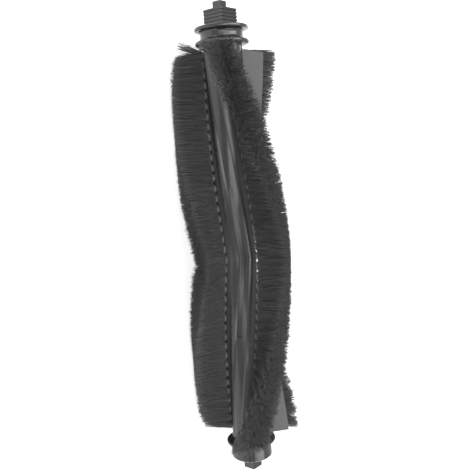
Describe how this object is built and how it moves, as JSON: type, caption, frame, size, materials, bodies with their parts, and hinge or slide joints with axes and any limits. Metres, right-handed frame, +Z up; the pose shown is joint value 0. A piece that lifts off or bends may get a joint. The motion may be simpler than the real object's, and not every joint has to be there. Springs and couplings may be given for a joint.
{
  "type": "roller brush",
  "caption": "Main roller brush of a robot vacuum: chevron bristle rows and rubber blades on a moulded core, with a ribbed square drive end and a free-turning idler end.",
  "frame": {"origin": "on the roller's axis, in the middle of the drive cap's outer flange", "axes": "+X along the roller's axis from the drive end to the idler end, +Z up as the brush lies on its bristles"},
  "size_m": [0.1819, 0.0414, 0.0407],
  "materials": {
    "core_plastic": "moulded, satin",
    "cap_plastic": "moulded, satin",
    "bush_plastic": "turned acetal",
    "pin_steel": "ground",
    "bristle_nylon": "fine nylon filament",
    "anchor_brass": "cut wire",
    "blade_rubber": "moulded, matt"
  },
  "bodies": {
    "rotor": {"roller_core": "core_plastic", "drive_cap": "cap_plastic", "axle_pin": "pin_steel", "thrust_washer": "bush_plastic", "bristle_row_a": "bristle_nylon", "bristle_row_b": "bristle_nylon", "bristle_row_c": "bristle_nylon", "tuft_anchors_a": "anchor_brass", "tuft_anchors_b": "anchor_brass", "tuft_anchors_c": "anchor_brass", "blade_a": "blade_rubber", "blade_c": "blade_rubber"},
    "idler": {"idler_cap": "cap_plastic", "idler_bush": "bush_plastic"}
  },
  "joints": [
    {"name": "idler_spin", "type": "hinge", "parent": "rotor", "child": "idler", "pos_m": [0.1592, 0, 0], "axis": [1, 0, 0], "continuous": true}
  ]
}
